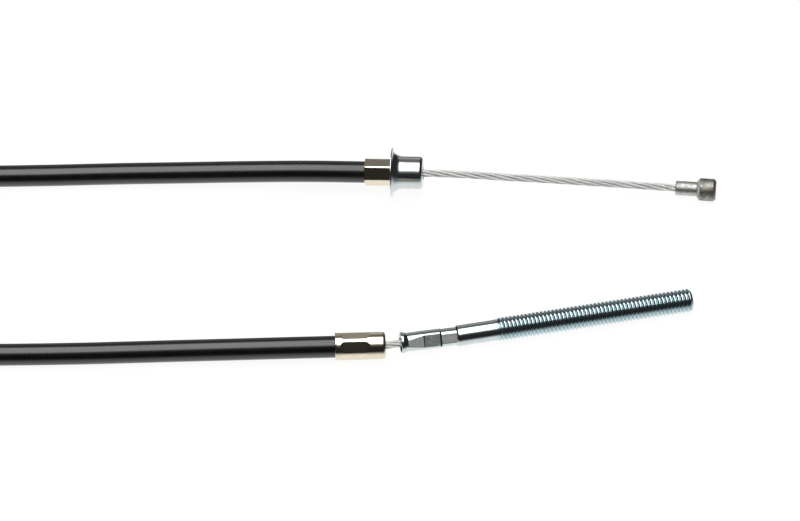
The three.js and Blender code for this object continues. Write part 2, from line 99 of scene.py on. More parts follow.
# Chosen points of the two runs of casing and of the wires
RUN_START_X = -73.4
UPPER_RUN = [
    (RUN_START_X, 32.3, 3.45), (-60, 32.55, 3.05), (-44, 33.05, 2.85), (-24, 33.5, 3.05),
    (-8, 33.35, 3.55), (8, 32.95, 4.3), (24, 32.25, 5.15),
]
LOWER_RUN = [(RUN_START_X, -32.05, 3.3), (-56, -31.7, 2.95)]
UPPER_WIRE = [
    (65.6, 29.6, 6.5), (76, 29.3, 5.85), (86.2, 29.25, 5.1), (96.5, 29.15, 4.3), (107, 28.95, 3.55),
]
UPPER_WIRE_START = 1
LOWER_WIRE_BACKS = (68, 34, 10, 5, 0.5)
LOWER_WIRE = [(46.4, -28.62, 3.64), (48.2, -28.15, 3.5)]

# Camera: a long lens looking down at half a right angle, aimed at the middle of the photo
PHOTO_CENTRE = (48.1, 4.9, 0)
CAMERA_ELEVATION = 45
CAMERA_DISTANCE = 2.0
CAMERA_CLIP = (0.1, 20)
PHOTO_WIDTH = 0.2046
SENSOR_WIDTH = 36


def datum():
    """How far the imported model's origin was moved from the construction's own."""
    low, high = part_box("casing_coil")
    return Vector((
        (low.x + high.x) / 2 - COIL_CENTRE_X * MM,
        (low.y + high.y) / 2,
        low.z - COIL_BOTTOM * MM,
    ))


DATUM = datum()


def spot(point):
    """A point of the construction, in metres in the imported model."""
    return Vector(point) * MM + DATUM


def along(point, direction, distance):
    return spot(point) + Vector(direction).normalized() * distance * MM


def turned_frame(point, direction):
    """A matrix whose own X runs along the direction and whose Z leans as little as it can."""
    ahead = Vector(direction).normalized()
    side = Vector((0, 0, 1)).cross(ahead).normalized()
    up = ahead.cross(side)
    turn = Matrix((ahead, side, up)).transposed().to_4x4()
    return Matrix.Translation(point) @ turn


UPPER_MOUTH = along(CAP_SPOT, CAP_DIRECTION, -FERRULE_REACH)
UPPER_END = along(CAP_SPOT, CAP_DIRECTION, CASING_IN_FERRULE - FERRULE_REACH)
LOWER_MOUTH = along(LOWER_SPOT, LOWER_DIRECTION, -FERRULE_LENGTH / 2)
LOWER_FACE = along(LOWER_SPOT, LOWER_DIRECTION, FERRULE_LENGTH / 2)
LOWER_END = along(LOWER_SPOT, LOWER_DIRECTION, CASING_IN_FERRULE - FERRULE_LENGTH / 2)


def lower_back(distance):
    """A point on the lower ferrule's axis, behind its end face."""
    return LOWER_FACE - Vector(LOWER_DIRECTION).normalized() * distance * MM


CURVE_PIECES = 24


def smooth(points, spacing):
    """A centripetal Catmull-Rom line through the points, with an even spacing."""
    p = np.array([list(q) for q in points], float)
    p = np.vstack([2 * p[0] - p[1], p, 2 * p[-1] - p[-2]])
    line = []
    for i in range(1, len(p) - 2):
        a, b, c, d = p[i - 1:i + 3]
        t1 = np.linalg.norm(b - a) ** 0.5
        t2 = t1 + np.linalg.norm(c - b) ** 0.5
        t3 = t2 + np.linalg.norm(d - c) ** 0.5
        t = np.linspace(t1, t2, CURVE_PIECES, endpoint=False)[:, None]
        ab = a * (t1 - t) / t1 + b * t / t1
        bc = b * (t2 - t) / (t2 - t1) + c * (t - t1) / (t2 - t1)
        cd = c * (t3 - t) / (t3 - t2) + d * (t - t2) / (t3 - t2)
        abc = ab * (t2 - t) / t2 + bc * t / t2
        bcd = bc * (t3 - t) / (t3 - t1) + cd * (t - t1) / (t3 - t1)
        line.append(abc * (t2 - t) / (t2 - t1) + bcd * (t - t1) / (t2 - t1))
    line.append(p[-2][None, :])
    return evened(np.vstack(line), spacing)


def reach_along(line):
    """Length of the line from its start to each of its points."""
    return np.concatenate([[0], np.cumsum(np.linalg.norm(np.diff(line, axis=0), axis=1))])


def evened(line, spacing):
    reach = reach_along(line)
    stops = np.linspace(0, reach[-1], max(2, round(reach[-1] / spacing) + 1))
    return np.stack([np.interp(stops, reach, line[:, k]) for k in range(3)], axis=1)


def carried_axes(line):
    """Side and up at each point, carried along the line without twisting."""
    ahead = np.gradient(line, axis=0)
    ahead /= np.linalg.norm(ahead, axis=1)[:, None]
    side = np.zeros_like(line)
    start = np.cross([0, 0, 1.0], ahead[0])
    side[0] = start / np.linalg.norm(start)
    for i in range(1, len(line)):
        s = side[i - 1] - ahead[i] * (side[i - 1] @ ahead[i])
        side[i] = s / np.linalg.norm(s)
    return side, np.cross(ahead, side)


def turned_about(angle, first, second):
    """The direction at an angle from the first of two crossing directions towards the second."""
    return np.cos(angle)[..., None] * first + np.sin(angle)[..., None] * second


def tube_rings(line, radius, sides):
    side, up = carried_axes(line)
    angle = np.arange(sides) * TAU / sides
    return line[:, None] + radius * turned_about(angle[None, :], side[:, None], up[:, None])


class Builder:
    """Collects rings of points into one mesh."""

    def __init__(self):
        self.points = []
        self.faces = []
        self.count = 0

    def add_rings(self, rings, cap_start=True, loop=False):
        """Joins each ring to the next. A loop joins the last to the first, and otherwise the ends close."""
        rings = np.asarray(rings, float)
        ring_count, sides = rings.shape[:2]
        base = self.count
        self.points.append(rings.reshape(-1, 3))
        self.count += ring_count * sides
        for i in range(ring_count if loop else ring_count - 1):
            here = base + i * sides
            there = base + (i + 1) % ring_count * sides
            for k in range(sides):
                beside = (k + 1) % sides
                self.faces.append((here + k, here + beside, there + beside, there + k))
        if cap_start and not loop:
            self.faces.append(tuple(range(base + sides - 1, base - 1, -1)))
        if not loop:
            self.faces.append(tuple(range(base + (ring_count - 1) * sides, base + ring_count * sides)))
        return self

    def make(self, name, materials, matrix=None, smooth_angle=35):
        """The finished piece. Edges sharper than smooth_angle, in degrees, stay sharp."""
        mesh = bpy.data.meshes.new(name)
        points = np.vstack(self.points)
        if matrix is not None:
            turn = np.array(matrix)
            points = points @ turn[:3, :3].T + turn[:3, 3]
        mesh.from_pydata(points.tolist(), [], self.faces)
        for material in materials:
            mesh.materials.append(material)
        mesh.validate()
        mesh.update()
        mesh.shade_smooth()
        mesh.set_sharp_from_angle(angle=math.radians(smooth_angle))
        piece = bpy.data.objects.new(name, mesh)
        bpy.context.scene.collection.objects.link(piece)
        return piece


TURNED_SMOOTH_ANGLE = 40
ROPE_SMOOTH_ANGLE = 100


def revolved(outline, sides, shape=None):
    """Rings of a turned piece about X from (along, radius) pairs in millimetres.

    shape(along, radius, angle) gives the radius where the piece isn't round."""
    angle = np.arange(sides) * TAU / sides
    rings = []
    for s, r in outline:
        radius = np.full(sides, float(r)) if shape is None else shape(s, r, angle)
        ring = np.stack([np.full(sides, float(s)), radius * np.cos(angle), radius * np.sin(angle)], 1)
        rings.append(ring * MM)
    return np.array(rings)


def rounded(centre_s, centre_r, radius, start, stop, pieces):
    """Points of an arc of an outline, with angles in degrees from the piece's axis."""
    turn = np.radians(np.linspace(start, stop, pieces + 1))
    return [(centre_s + radius * math.cos(a), centre_r + radius * math.sin(a)) for a in turn]


# Distance from a rounded end to the first ring of the face beside it, which keeps that face even
FACE_LEAD = 0.1


def stretch(start, stop, pieces, radius):
    return [(s, radius) for s in np.linspace(start, stop, pieces + 1)]


def eased(x):
    """From 0 to 1 with a soft start and end."""
    x = min(1.0, max(0.0, x))
    return x * x * (3 - 2 * x)


# Materials

NODE_COLUMN = 200
NODE_ROW = 180
COLOUR_A, COLOUR_B, MIXED_COLOUR = 6, 7, 2


def node(tree, kind, column, row, **values):
    """A new node in the editor's grid, with the given properties."""
    made = tree.nodes.new(kind)
    made.location = (column * NODE_COLUMN, row * NODE_ROW)
    for key, value in values.items():
        setattr(made, key, value)
    return made


def connect(tree, *pairs):
    """Joins each output to the input beside it."""
    for output, entry in pairs:
        tree.links.new(output, entry)


def set_inputs(made, values):
    for name, value in values.items():
        made.inputs[name].default_value = value


def grey(level):
    return (level, level, level, 1)


MOTTLE_INPUTS = [
    ("Colour", "NodeSocketColor", grey(0.8)),
    ("Worn Colour", "NodeSocketColor", grey(0.5)),
    ("Roughness", "NodeSocketFloat", 0.3),
    ("Spread", "NodeSocketFloat", 0.1),
    ("Patch Scale", "NodeSocketFloat", 400.0),
    ("Grain Scale", "NodeSocketFloat", 6000.0),
    ("Stretch", "NodeSocketFloat", 1.0),
]
MOTTLE_OUTPUTS = [
    ("Colour", "NodeSocketColor"),
    ("Roughness", "NodeSocketFloat"),
    ("Height", "NodeSocketFloat"),
]
PATCH_DETAIL = 3
PATCH_START, PATCH_FULL = 0.35, 0.7
GRAIN_DETAIL = 2
NOISE_MIDDLE = 0.5


def mottle_group():
    """Uneven tone and gloss, with fine grain for a bump."""
    if "Mottle" in bpy.data.node_groups:
        return bpy.data.node_groups["Mottle"]
    tree = bpy.data.node_groups.new("Mottle", "ShaderNodeTree")
    for name, kind, default in MOTTLE_INPUTS:
        tree.interface.new_socket(name, in_out="INPUT", socket_type=kind).default_value = default
    for name, kind in MOTTLE_OUTPUTS:
        tree.interface.new_socket(name, in_out="OUTPUT", socket_type=kind)
    given = node(tree, "NodeGroupInput", 0, 0).outputs
    place = node(tree, "ShaderNodeTexCoord", 0, 2)
    scale = node(tree, "ShaderNodeCombineXYZ", 1, 1)
    scale.inputs["X"].default_value = 1
    drawn = node(tree, "ShaderNodeVectorMath", 2, 2, operation="MULTIPLY")
    patch = node(tree, "ShaderNodeTexNoise", 3, 2)
    patch.inputs["Detail"].default_value = PATCH_DETAIL
    grain = node(tree, "ShaderNodeTexNoise", 3, 0)
    grain.inputs["Detail"].default_value = GRAIN_DETAIL
    wear = node(tree, "ShaderNodeMapRange", 4, 2)
    set_inputs(wear, {"From Min": PATCH_START, "From Max": PATCH_FULL})
    tone = node(tree, "ShaderNodeMix", 5, 2, data_type="RGBA")
    offset = node(tree, "ShaderNodeMath", 4, 1, operation="SUBTRACT")
    offset.inputs[1].default_value = NOISE_MIDDLE
    swing = node(tree, "ShaderNodeMath", 5, 1, operation="MULTIPLY_ADD")
    out = node(tree, "NodeGroupOutput", 6, 1).inputs
    connect(
        tree,
        (given["Stretch"], scale.inputs["Y"]),
        (given["Stretch"], scale.inputs["Z"]),
        (place.outputs["Object"], drawn.inputs[0]),
        (scale.outputs[0], drawn.inputs[1]),
        (drawn.outputs[0], patch.inputs["Vector"]),
        (given["Patch Scale"], patch.inputs["Scale"]),
        (drawn.outputs[0], grain.inputs["Vector"]),
        (given["Grain Scale"], grain.inputs["Scale"]),
        (patch.outputs["Fac"], wear.inputs["Value"]),
        (wear.outputs[0], tone.inputs["Factor"]),
        (given["Colour"], tone.inputs[COLOUR_A]),
        (given["Worn Colour"], tone.inputs[COLOUR_B]),
        (patch.outputs["Fac"], offset.inputs[0]),
        (offset.outputs[0], swing.inputs[0]),
        (given["Spread"], swing.inputs[1]),
        (given["Roughness"], swing.inputs[2]),
        (tone.outputs[MIXED_COLOUR], out["Colour"]),
        (swing.outputs[0], out["Roughness"]),
        (grain.outputs["Fac"], out["Height"]),
    )
    return tree


def finish_material(name, colour, worn, roughness, metallic=1, spread=0.1, patch=400, grain=6000,
                    drawn_out=1, bump=0.1, depth=0.02, ior=1.5, gloss=0.5):
    """A finish made of the mottle group, a bump and the shader."""
    made = bpy.data.materials.get(name)
    if made:
        return made
    made = bpy.data.materials.new(name)
    made.use_nodes = True
    tree = made.node_tree
    shader = tree.nodes["Principled BSDF"]
    set_inputs(shader, {"Metallic": metallic, "IOR": ior, "Specular IOR Level": gloss})
    mottle = node(tree, "ShaderNodeGroup", -3, 1, node_tree=mottle_group())
    set_inputs(mottle, {
        "Colour": (*colour, 1), "Worn Colour": (*worn, 1), "Roughness": roughness, "Spread": spread,
        "Patch Scale": patch, "Grain Scale": grain, "Stretch": drawn_out,
    })
    raised = node(tree, "ShaderNodeBump", -2, 0)
    set_inputs(raised, {"Strength": bump, "Distance": depth * MM})
    connect(
        tree,
        (mottle.outputs["Colour"], shader.inputs["Base Color"]),
        (mottle.outputs["Roughness"], shader.inputs["Roughness"]),
        (mottle.outputs["Height"], raised.inputs["Height"]),
        (raised.outputs["Normal"], shader.inputs["Normal"]),
    )
    return made


def jacket_plastic():
    return finish_material(
        "jacket_plastic", colour=(0.005, 0.005, 0.005), worn=(0.008, 0.008, 0.008), roughness=0.24,
        metallic=0, patch=220, grain=1500, depth=0.04, ior=1.6, gloss=0.6)


def warm_nickel():
    return finish_material(
        "warm_nickel", colour=(0.74, 0.67, 0.54), worn=(0.69, 0.61, 0.48), roughness=0.13,
        spread=0.08, patch=500, grain=4000, bump=0.06)


def bright_zinc():
    return finish_material(
        "bright_zinc", colour=(0.62, 0.65, 0.65), worn=(0.57, 0.61, 0.61), roughness=0.19,
        patch=450, grain=5000, drawn_out=0.2, bump=0.05)


def blue_zinc():
    return finish_material(
        "blue_zinc", colour=(0.6, 0.65, 0.65), worn=(0.53, 0.61, 0.61), roughness=0.14,
        spread=0.15, patch=500, grain=5000, bump=0.06)


def pressed_zinc():
    return finish_material(
        "pressed_zinc", colour=(0.72, 0.77, 0.76), worn=(0.42, 0.46, 0.46), roughness=0.6,
        spread=0.2, patch=1100, grain=5000, bump=0.5, depth=0.03)


def pressed_pale_zinc():
    return finish_material(
        "pressed_pale_zinc", colour=(0.84, 0.87, 0.85), worn=(0.66, 0.69, 0.67), roughness=0.7,
        spread=0.15, patch=1100, grain=5000, bump=0.4, depth=0.03)


def cast_zinc():
    return finish_material(
        "cast_zinc", colour=(0.62, 0.63, 0.6), worn=(0.42, 0.43, 0.4), roughness=0.5,
        spread=0.25, patch=900, grain=3000, bump=0.5, depth=0.04)


def dark_cast_zinc():
    return finish_material(
        "dark_cast_zinc", colour=(0.43, 0.415, 0.38), worn=(0.2, 0.19, 0.165), roughness=0.5,
        spread=0.3, patch=1100, grain=3500, bump=0.6, depth=0.05)


# A pale, rough finish for the nipple's chamfer: a painted highlight where it would otherwise mirror the
# dark side of the room.
def chamfer_painted_highlight():
    return finish_material(
        "chamfer_painted_highlight", colour=(0.85, 0.86, 0.82), worn=(0.7, 0.71, 0.68), roughness=0.85,
        metallic=0.7, patch=900, grain=3000, bump=0.4, depth=0.04)


def teal_zinc():
    return finish_material(
        "teal_zinc", colour=(0.54, 0.63, 0.66), worn=(0.46, 0.59, 0.62), roughness=0.18,
        spread=0.12, patch=600, grain=5000, bump=0.05)


# Near-black finish for the floor of the sleeve's groove: painted shade in the recess.
def groove_painted_shade():
    return finish_material(
        "groove_painted_shade", colour=(0.05, 0.055, 0.055), worn=(0.03, 0.03, 0.03), roughness=0.6,
        metallic=0.6)


def rope_steel():
    return finish_material(
        "rope_steel", colour=(0.98, 0.98, 0.965), worn=(0.9, 0.9, 0.88), roughness=0.44,
        metallic=0.8, spread=0.15, patch=900, grain=8000, bump=0.05)


def tie_nylon():
    return finish_material(
        "tie_nylon", colour=(0.02, 0.02, 0.021), worn=(0.03, 0.03, 0.031), roughness=0.42,
        metallic=0, patch=500, grain=3000, bump=0.08)


def spiral_steel():
    return finish_material(
        "spiral_steel", colour=(0.45, 0.46, 0.47), worn=(0.35, 0.36, 0.37), roughness=0.4,
        patch=500, grain=3000, drawn_out=0.1, bump=0.2)


def liner_plastic():
    return finish_material(
        "liner_plastic", colour=(0.8, 0.79, 0.75), worn=(0.72, 0.7, 0.65), roughness=0.5,
        metallic=0, patch=300, grain=2000)


# Sizes and colours that a user would change


class CableSizes(bpy.types.PropertyGroup):
    casing_diameter: bpy.props.FloatProperty(
        name="Casing diameter", description="Outside of the black jacket", default=0.0056,
        unit="LENGTH", subtype="DISTANCE")
    wire_diameter: bpy.props.FloatProperty(
        name="Wire diameter", description="Outside of the stranded inner wire", default=0.002,
        unit="LENGTH", subtype="DISTANCE")
    strand_lay: bpy.props.FloatProperty(
        name="Strand lay", description="Length in which a strand turns once round the rope",
        default=0.026, unit="LENGTH", subtype="DISTANCE")
    wire_lay: bpy.props.FloatProperty(
        name="Wire lay", description="Length in which a wire turns once round its strand",
        default=0.0034, unit="LENGTH", subtype="DISTANCE")
    thread_pitch: bpy.props.FloatProperty(
        name="Thread pitch", description="Distance from crest to crest on the rod",
        default=0.001, unit="LENGTH", subtype="DISTANCE")
    floor_colour: bpy.props.FloatVectorProperty(
        name="Floor colour", description="Colour of the studio floor", default=(0.9, 0.9, 0.89),
        subtype="COLOR", size=3)


# Stage


class BRAKECABLE_OT_stage(bpy.types.Operator):
    """Sets the camera, the studio light and the pale floor"""
    bl_idname = "brakecable.stage"
    bl_label = "Stage"

    def execute(self, context):
        make_camera(context.scene)
        make_world(context.scene)
        make_softbox(context.scene)
        make_floor(context.scene, context.scene.brake_cable.floor_colour)
        context.scene.view_settings.view_transform = "Standard"
        return {"FINISHED"}


def make_camera(scene):
    data = bpy.data.cameras.new("camera")
    data.sensor_width = SENSOR_WIDTH
    data.lens = SENSOR_WIDTH * CAMERA_DISTANCE / PHOTO_WIDTH
    data.clip_start, data.clip_end = CAMERA_CLIP
    camera = bpy.data.objects.new("camera", data)
    lean = math.radians(CAMERA_ELEVATION)
    aim = spot(PHOTO_CENTRE)
    aim.z = 0
    camera.location = aim + Vector((0, -math.cos(lean), math.sin(lean))) * CAMERA_DISTANCE
    camera.rotation_euler = (math.pi / 2 - lean, 0, 0)
    scene.collection.objects.link(camera)
    scene.camera = camera


# The room as brightness by height in degrees, from the horizon on the camera's side over to the far one
ROOM = [
    (0, 0.02), (40, 0.03), (53, 0.25), (60, 0.6), (112, 0.6), (121, 0.3), (128, 0.15), (146, 0.17),
    (157, 0.32), (167, 0.45), (180, 0.75),
]
# Both sides of the room are dark, beyond these shares of the way out
SIDES_START, SIDES_END = 0.24, 0.42
SIDES_LEVEL = 0.03
RAMP_MIDDLE = 0.5


def room_ramp(tree):
    """The room's brightness as a colour ramp over its heights."""
    ramp = node(tree, "ShaderNodeValToRGB", 5, 0)
    stops = ramp.color_ramp.elements
    while len(stops) < len(ROOM):
        stops.new(RAMP_MIDDLE)
    for stop, (height, level) in zip(stops, ROOM):
        stop.position = height / HALF_TURN
        stop.color = grey(level)
    return ramp


def make_world(scene):
    """The room that the metal reflects, and plain white where the camera looks past the floor."""
    world = bpy.data.worlds.new("studio")
    scene.world = world
    world.use_nodes = True
    tree = world.node_tree
    tree.nodes.clear()
    place = node(tree, "ShaderNodeTexCoord", 0, 0)
    split = node(tree, "ShaderNodeSeparateXYZ", 1, 0)
    flip = node(tree, "ShaderNodeMath", 2, -1, operation="MULTIPLY")
    flip.inputs[1].default_value = -1
    height = node(tree, "ShaderNodeMath", 3, 0, operation="ARCTAN2")
    share = node(tree, "ShaderNodeMath", 4, 0, operation="DIVIDE")
    share.inputs[1].default_value = math.pi
    ramp = room_ramp(tree)
    outward = node(tree, "ShaderNodeMath", 2, 1, operation="ABSOLUTE")
    sides = node(tree, "ShaderNodeMapRange", 3, 2, interpolation_type="SMOOTHSTEP")
    set_inputs(sides, {"From Min": SIDES_START, "From Max": SIDES_END})
    narrowed = node(tree, "ShaderNodeMix", 7, 1, data_type="RGBA")
    narrowed.inputs[COLOUR_B].default_value = grey(SIDES_LEVEL)
    room = node(tree, "ShaderNodeBackground", 8, 1)
    white = node(tree, "ShaderNodeBackground", 8, 0)
    white.inputs["Color"].default_value = grey(1)
    path = node(tree, "ShaderNodeLightPath", 8, 3)
    pick = node(tree, "ShaderNodeMixShader", 9, 1)
    out = node(tree, "ShaderNodeOutputWorld", 10, 1)
    connect(
        tree,
        (place.outputs["Generated"], split.inputs[0]),
        (split.outputs["Y"], flip.inputs[0]),
        (split.outputs["Z"], height.inputs[0]),
        (flip.outputs[0], height.inputs[1]),
        (height.outputs[0], share.inputs[0]),
        (share.outputs[0], ramp.inputs[0]),
        (split.outputs["X"], outward.inputs[0]),
        (outward.outputs[0], sides.inputs["Value"]),
        (sides.outputs[0], narrowed.inputs["Factor"]),
        (ramp.outputs[0], narrowed.inputs[COLOUR_A]),
        (narrowed.outputs[MIXED_COLOUR], room.inputs["Color"]),
        (path.outputs["Is Camera Ray"], pick.inputs[0]),
        (room.outputs[0], pick.inputs[1]),
        (white.outputs[0], pick.inputs[2]),
        (pick.outputs[0], out.inputs["Surface"]),
    )


SOFTBOX_HEIGHT = 1.0
SOFTBOX_SIZE = (0.64, 1.17)
SOFTBOX_SHIFT = (0.01, -0.015)
SOFTBOX_POWER = 6.6


def make_softbox(scene):
    data = bpy.data.lights.new("softbox", "AREA")
    data.shape = "RECTANGLE"
    data.size, data.size_y = SOFTBOX_SIZE
    data.energy = SOFTBOX_POWER
    lamp = bpy.data.objects.new("softbox", data)
    lamp.location = spot(PHOTO_CENTRE) + Vector((*SOFTBOX_SHIFT, SOFTBOX_HEIGHT))
    scene.collection.objects.link(lamp)


FLOOR_EDGE = 3.0
FLOOR_ROUGHNESS = 0.9
FLOOR_GLOW = 1.1
FLOOR_GLOW_FAR = 0.02
FLOOR_GLOW_SEEN = 0.85
FLOOR_FADE_START, FLOOR_FADE_END = 0.3, 0.92


def floor_paper(colour):
    """Pale paper. Part of what the camera sees of it is its own light, so that its shadows stay faint,
    and in reflections it fades out towards the horizon as a sheet of small size does."""
    made = bpy.data.materials.new("floor_paper")
    made.use_nodes = True
    tree = made.node_tree
    shader = tree.nodes["Principled BSDF"]
    set_inputs(shader, {"Base Color": (*colour, 1), "Roughness": FLOOR_ROUGHNESS})
    path = node(tree, "ShaderNodeLightPath", -5, -2)
    facing = node(tree, "ShaderNodeLayerWeight", -5, -4)
    fade = node(tree, "ShaderNodeMapRange", -4, -4, interpolation_type="SMOOTHSTEP")
    set_inputs(fade, {
        "From Min": FLOOR_FADE_START, "From Max": FLOOR_FADE_END,
        "To Min": FLOOR_GLOW, "To Max": FLOOR_GLOW_FAR,
    })
    mirrored = node(tree, "ShaderNodeMath", -3, -3, operation="MULTIPLY")
    strength = node(tree, "ShaderNodeMath", -2, -3, operation="MULTIPLY_ADD")
    strength.inputs[1].default_value = FLOOR_GLOW
    glow = node(tree, "ShaderNodeEmission", -1, -2)
    share = node(tree, "ShaderNodeMath", -2, -1, operation="MULTIPLY_ADD")
    share.inputs[1].default_value = FLOOR_GLOW_SEEN
    both = node(tree, "ShaderNodeMixShader", 1, 0)
    connect(
        tree,
        (facing.outputs["Facing"], fade.inputs["Value"]),
        (fade.outputs[0], mirrored.inputs[0]),
        (path.outputs["Is Glossy Ray"], mirrored.inputs[1]),
        (path.outputs["Is Camera Ray"], strength.inputs[0]),
        (mirrored.outputs[0], strength.inputs[2]),
        (strength.outputs[0], glow.inputs["Strength"]),
        (path.outputs["Is Camera Ray"], share.inputs[0]),
        (path.outputs["Is Glossy Ray"], share.inputs[2]),
        (share.outputs[0], both.inputs[0]),
        (shader.outputs[0], both.inputs[1]),
        (glow.outputs[0], both.inputs[2]),
        (both.outputs[0], tree.nodes["Material Output"].inputs["Surface"]),
    )
    return made


def make_floor(scene, colour):
    mesh = bpy.data.meshes.new("floor")
    edge = FLOOR_EDGE
    corners = [(-edge, -edge, 0), (edge, -edge, 0), (edge, edge, 0), (-edge, edge, 0)]
    mesh.from_pydata(corners, [], [(0, 1, 2, 3)])
    mesh.materials.append(floor_paper(colour))
    floor = bpy.data.objects.new("floor", mesh)
    scene.collection.objects.link(floor)


# Casing

COIL_TURNS = 3
COIL_STEP = 9
TWIST_START, TWIST_END = 30, 150
FIRST_CORNER = -45
SINK_ANGLE = 30
CASING_STEP = 1.5
CASING_SIDES = 24
JACKET_SHRINK = 0.01


def coil_place(turn, degrees, diameter):
    """Radius and height of the cord's centre on a turn, at an angle past the place where it comes in.

    Four passes make a bundle two wide and two high. On the far half the bundle rolls by a quarter,
    so each pass moves to its neighbour's corner. On the near half the fourth corner is empty,
    and the outer pass sinks between the other two."""
    if turn == COIL_TURNS - 1 and degrees > HALF_TURN:
        sink = math.radians(-SINK_ANGLE * math.sin(math.radians(degrees)) ** 2)
        inner = COIL_MEAN_RADIUS * MM - diameter / 2
        top = COIL_BOTTOM * MM + diameter * 3 / 2
        return inner + diameter * math.cos(sink), top + diameter * math.sin(sink)
    half = diameter / math.sqrt(2)
    roll = eased((degrees - TWIST_START) / (TWIST_END - TWIST_START))
    angle = math.radians(FIRST_CORNER - QUARTER_TURN * (turn + roll))
    lift = half * math.cos(math.radians(FIRST_CORNER + QUARTER_TURN * roll)) - diameter / 2
    radius = COIL_MEAN_RADIUS * MM + half * math.cos(angle)
    height = COIL_BOTTOM * MM + diameter + half * math.sin(angle) + lift
    return radius, height


def coil_point(turn, degrees, diameter):
    radius, height = coil_place(turn, degrees, diameter)
    angle = math.radians(QUARTER_TURN + degrees)
    centre = spot((COIL_CENTRE_X, 0, 0))
    return centre + Vector((radius * math.cos(angle), radius * math.sin(angle), height))


def casing_line(diameter, spacing):
    """The whole casing, from inside the upper ferrule round the coil to inside the lower one."""
    upper = [UPPER_END, UPPER_MOUTH] + [spot(p) for p in reversed(UPPER_RUN)]
    coil = []
    for turn in range(COIL_TURNS + 1):
        end = HALF_TURN + COIL_STEP if turn == COIL_TURNS else 2 * HALF_TURN
        coil += [coil_point(turn, degrees, diameter) for degrees in range(0, end, COIL_STEP)]
    stretches = range(STRAIGHT_STRETCHES, 0, -1)
    straight = [lower_back(STRAIGHT_LENGTH * left / STRAIGHT_STRETCHES) for left in stretches]
    lower = [spot(p) for p in LOWER_RUN] + straight + [LOWER_MOUTH, LOWER_END]
    return smooth(upper + coil + lower, spacing)


class BRAKECABLE_OT_casing(bpy.types.Operator):
    """Makes the black jacket along its whole length, coil included"""
    bl_idname = "brakecable.casing"
    bl_label = "Casing"

    def execute(self, context):
        diameter = context.scene.brake_cable.casing_diameter
        line = casing_line(diameter, CASING_STEP * MM)
        rings = tube_rings(line, diameter / 2 - JACKET_SHRINK * MM, CASING_SIDES)
        piece = Builder().add_rings(rings).make("casing_jacket", [jacket_plastic()])
        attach(piece, "casing")
        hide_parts("jacket_upper_run", "jacket_lower_run", "casing_coil")
        return {"FINISHED"}


# Ties round the coil

TIE_ANGLES = (0, 108, 252)
TIE_STRAP = 1.1
TIE_WIDTH = 3.6
TIE_SLACK = 0.04
TIE_POINTS = 96
TIE_SECTION = [(-1, 0.12), (-1, 0.88), (-0.94, 1), (0.94, 1), (1, 0.88), (1, 0.12), (0.94, 0), (-0.94, 0)]
TIE_HEAD_SIZE = (5, 4.6, 2.9)
TIE_HEAD_LIFT = 1.35
TIE_HEAD_BEVEL = 0.4
TIE_TONGUE_SIZE = (1.2, 3.4, 1)
TIE_TONGUE_OUT = 3
TIE_TONGUE_LIFT = 1.4
TIE_TONGUE_BEVEL = 0.2


def strap_line(circles, radius):
    """The line of a strap drawn tight round equal circles, with evenly spaced points."""
    points = []
    for angle in np.arange(TIE_POINTS) * TAU / TIE_POINTS:
        out = np.array([math.cos(angle), math.sin(angle)])
        far = max(circles, key=lambda c: c[0] * out[0] + c[1] * out[1])
        points.append(np.array(far) + out * radius)
    closed = np.array(points + points[:1])
    reach = reach_along(closed)
    stops = np.linspace(0, reach[-1], TIE_POINTS, endpoint=False)
    return np.stack([np.interp(stops, reach, closed[:, k]) for k in range(2)], axis=1)


def block_rings(centre, size, bevel):
    """A block with bevelled edges, as rings along X. Only its centre is in metres."""
    x1, y1, z1 = np.array(size) * MM / 2
    e = bevel * MM
    rings = []
    for x, inset in ((-x1, e), (e - x1, 0), (x1 - e, 0), (x1, e)):
        y = y1 - inset
        z = z1 - inset
        rings.append([
            (x, e - y, -z), (x, y - e, -z), (x, y, e - z), (x, y, z - e),
            (x, y - e, z), (x, e - y, z), (x, -y, z - e), (x, -y, e - z),
        ])
    return np.array(rings) + np.array(centre)


def make_tie(name, angle, diameter):
    """A strap round the passes of cord that lie at this angle of the coil, with its head on top."""
    degrees = (angle - QUARTER_TURN) % (2 * HALF_TURN)
    passes = COIL_TURNS if degrees > HALF_TURN else COIL_TURNS + 1
    circles = [coil_place(turn, degrees, diameter) for turn in range(passes)]
    inside = strap_line(circles, diameter / 2 + TIE_SLACK * MM)
    ahead = np.roll(inside, -1, 0) - np.roll(inside, 1, 0)
    outward = np.stack([ahead[:, 1], -ahead[:, 0]], 1)
    outward /= np.linalg.norm(outward, axis=1)[:, None]
    rings = []
    for across, deep in TIE_SECTION:
        edge = inside + outward * deep * TIE_STRAP * MM
        rings.append(np.stack([edge[:, 0], np.full(len(edge), across * TIE_WIDTH * MM / 2), edge[:, 1]], 1))
    middle = inside[:, 0].mean()
    top = inside[:, 1].max()
    head = (middle, 0, top + TIE_HEAD_LIFT * MM)
    tongue = (middle + TIE_TONGUE_OUT * MM, 0, top + TIE_TONGUE_LIFT * MM)
    builder = Builder()
    builder.add_rings(np.array(rings).transpose(1, 0, 2)[::-1], loop=True)
    builder.add_rings(block_rings(head, TIE_HEAD_SIZE, TIE_HEAD_BEVEL))
    builder.add_rings(block_rings(tongue, TIE_TONGUE_SIZE, TIE_TONGUE_BEVEL))
    turn = Matrix.Translation(spot((COIL_CENTRE_X, 0, 0))) @ Matrix.Rotation(math.radians(angle), 4, "Z")
    return builder.make(name, [tie_nylon()], turn)


class BRAKECABLE_OT_ties(bpy.types.Operator):
    """Makes the straps that hold the coil together"""
    bl_idname = "brakecable.ties"
    bl_label = "Coil ties"

    def execute(self, context):
        diameter = context.scene.brake_cable.casing_diameter
        for i, angle in enumerate(TIE_ANGLES):
            piece = make_tie(f"strap_{i + 1}", angle, diameter)
            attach(piece, "casing")
            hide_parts(f"coil_tie_{i + 1}")
        return {"FINISHED"}


# Ferrules

